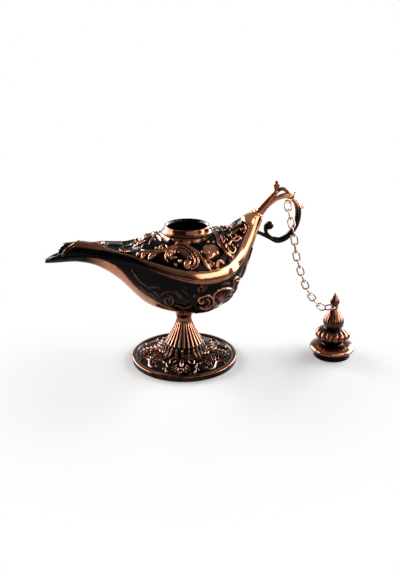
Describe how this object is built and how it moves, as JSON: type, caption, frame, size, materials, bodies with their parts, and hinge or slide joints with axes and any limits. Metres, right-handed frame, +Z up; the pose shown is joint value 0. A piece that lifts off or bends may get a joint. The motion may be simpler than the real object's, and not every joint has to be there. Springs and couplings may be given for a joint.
{
  "type": "incense burner",
  "caption": "Genie lamp incense burner: a boat-shaped bowl under a domed cover with a round mouth, on a fluted foot, with a scroll handle and a stopper on a chain.",
  "frame": {"origin": "middle of the foot's flat underside, on the foot's axis", "axes": "+Z up, +X from the spout towards the scroll handle, +Y towards the side away from the picture's view"},
  "size_m": [0.1428, 0.049, 0.0852],
  "materials": {
    "antique_copper": "copper plate, polished on the raised ornament with black patina in the recesses",
    "chain_copper": "bright rose copper plate",
    "dark_plug": "blackened",
    "steel": "plain zinc-plated steel"
  },
  "bodies": {
    "lamp": {"pedestal_foot": "antique_copper", "bowl": "antique_copper", "cover": "antique_copper", "mouth_collar": "antique_copper", "screw_washer": "steel", "foot_screw": "steel", "neck_ferrule": "antique_copper", "handle_scroll": "antique_copper"},
    "top_ring": {"top_ring": "chain_copper"},
    "link_01": {"link_01": "chain_copper"},
    "link_02": {"link_02": "chain_copper"},
    "link_03": {"link_03": "chain_copper"},
    "link_04": {"link_04": "chain_copper"},
    "link_05": {"link_05": "chain_copper"},
    "link_06": {"link_06": "chain_copper"},
    "link_07": {"link_07": "chain_copper"},
    "link_08": {"link_08": "chain_copper"},
    "link_09": {"link_09": "chain_copper"},
    "link_10": {"link_10": "chain_copper"},
    "link_11": {"link_11": "chain_copper"},
    "link_12": {"link_12": "chain_copper"},
    "link_13": {"link_13": "chain_copper"},
    "link_14": {"link_14": "chain_copper"},
    "link_15": {"link_15": "chain_copper"},
    "end_ring": {"end_ring": "chain_copper"},
    "stopper": {"stopper_cap": "antique_copper", "stopper_plug": "dark_plug"}
  },
  "joints": [
    {"name": "top_ring_swing", "type": "hinge", "parent": "lamp", "child": "top_ring", "pos_m": [0.04756, 0, 0.07802], "axis": [0.7837, 0, -0.6211], "range_deg": [-45, 2]},
    {"name": "link_01_swing", "type": "hinge", "parent": "top_ring", "child": "link_01", "pos_m": [0.04557, 0.0002, 0.07596], "axis": [0.0729, 0.8691, -0.4892], "range_deg": [-22, 27]},
    {"name": "link_02_swing", "type": "hinge", "parent": "link_01", "child": "link_02", "pos_m": [0.04607, -0.00173, 0.0726], "axis": [-0.9781, 0, -0.2082], "range_deg": [-2, 38]},
    {"name": "link_03_swing", "type": "hinge", "parent": "link_02", "child": "link_03", "pos_m": [0.04682, -0.00323, 0.06908], "axis": [-0.0577, -0.9746, 0.2164], "range_deg": [-29.5, 38]},
    {"name": "link_04_swing", "type": "hinge", "parent": "link_03", "child": "link_04", "pos_m": [0.0478, -0.0041, 0.06541], "axis": [0.977, 0, 0.2131], "range_deg": [-38, 22]},
    {"name": "link_05_swing", "type": "hinge", "parent": "link_04", "child": "link_05", "pos_m": [0.04863, -0.00432, 0.06161], "axis": [-0.003, 0.9998, 0.0187], "range_deg": [-38, 34.5]},
    {"name": "link_06_swing", "type": "hinge", "parent": "link_05", "child": "link_06", "pos_m": [0.04925, -0.00425, 0.05776], "axis": [-0.9926, 0, -0.1217], "range_deg": [-38, 38]},
    {"name": "link_07_swing", "type": "hinge", "parent": "link_06", "child": "link_07", "pos_m": [0.04972, -0.00399, 0.05389], "axis": [0.0302, -0.9926, -0.1177], "range_deg": [-38, 34.5]},
    {"name": "link_08_swing", "type": "hinge", "parent": "link_07", "child": "link_08", "pos_m": [0.05069, -0.00352, 0.05014], "axis": [0.9485, 0, 0.3169], "range_deg": [-38, 38]},
    {"name": "link_09_swing", "type": "hinge", "parent": "link_08", "child": "link_09", "pos_m": [0.05191, -0.0029, 0.04649], "axis": [-0.0487, 0.987, 0.153], "range_deg": [-38, 38]},
    {"name": "link_10_swing", "type": "hinge", "parent": "link_09", "child": "link_10", "pos_m": [0.05308, -0.00227, 0.04282], "axis": [-0.944, 0, -0.3299], "range_deg": [-38, 38]},
    {"name": "link_11_swing", "type": "hinge", "parent": "link_10", "child": "link_11", "pos_m": [0.05434, -0.00158, 0.03919], "axis": [0.0817, -0.9787, -0.1882], "range_deg": [-38, 37]},
    {"name": "link_12_swing", "type": "hinge", "parent": "link_11", "child": "link_12", "pos_m": [0.05586, -0.00078, 0.03569], "axis": [0.8876, 0, 0.4605], "range_deg": [-38, 38]},
    {"name": "link_13_swing", "type": "hinge", "parent": "link_12", "child": "link_13", "pos_m": [0.05761, 0.00011, 0.03231], "axis": [-0.1455, 0.9649, 0.2188], "range_deg": [-37, 38]},
    {"name": "link_14_swing", "type": "hinge", "parent": "link_13", "child": "link_14", "pos_m": [0.0597, 0.00113, 0.02918], "axis": [-0.7466, 0, -0.6653], "range_deg": [-38, 38]},
    {"name": "link_15_swing", "type": "hinge", "parent": "link_14", "child": "link_15", "pos_m": [0.06221, 0.00214, 0.02637], "axis": [0.1753, -0.9718, -0.1576], "range_deg": [-38, 37]},
    {"name": "end_ring_swing", "type": "hinge", "parent": "link_15", "child": "end_ring", "pos_m": [0.06503, 0.00306, 0.02383], "axis": [0.1528, 0, -0.9883], "range_deg": [-38, 38]},
    {"name": "stopper_swing", "type": "hinge", "parent": "end_ring", "child": "stopper", "pos_m": [0.07, 0.0035, 0.02493], "axis": [0, 1, 0], "range_deg": [-38, 24.5]}
  ]
}
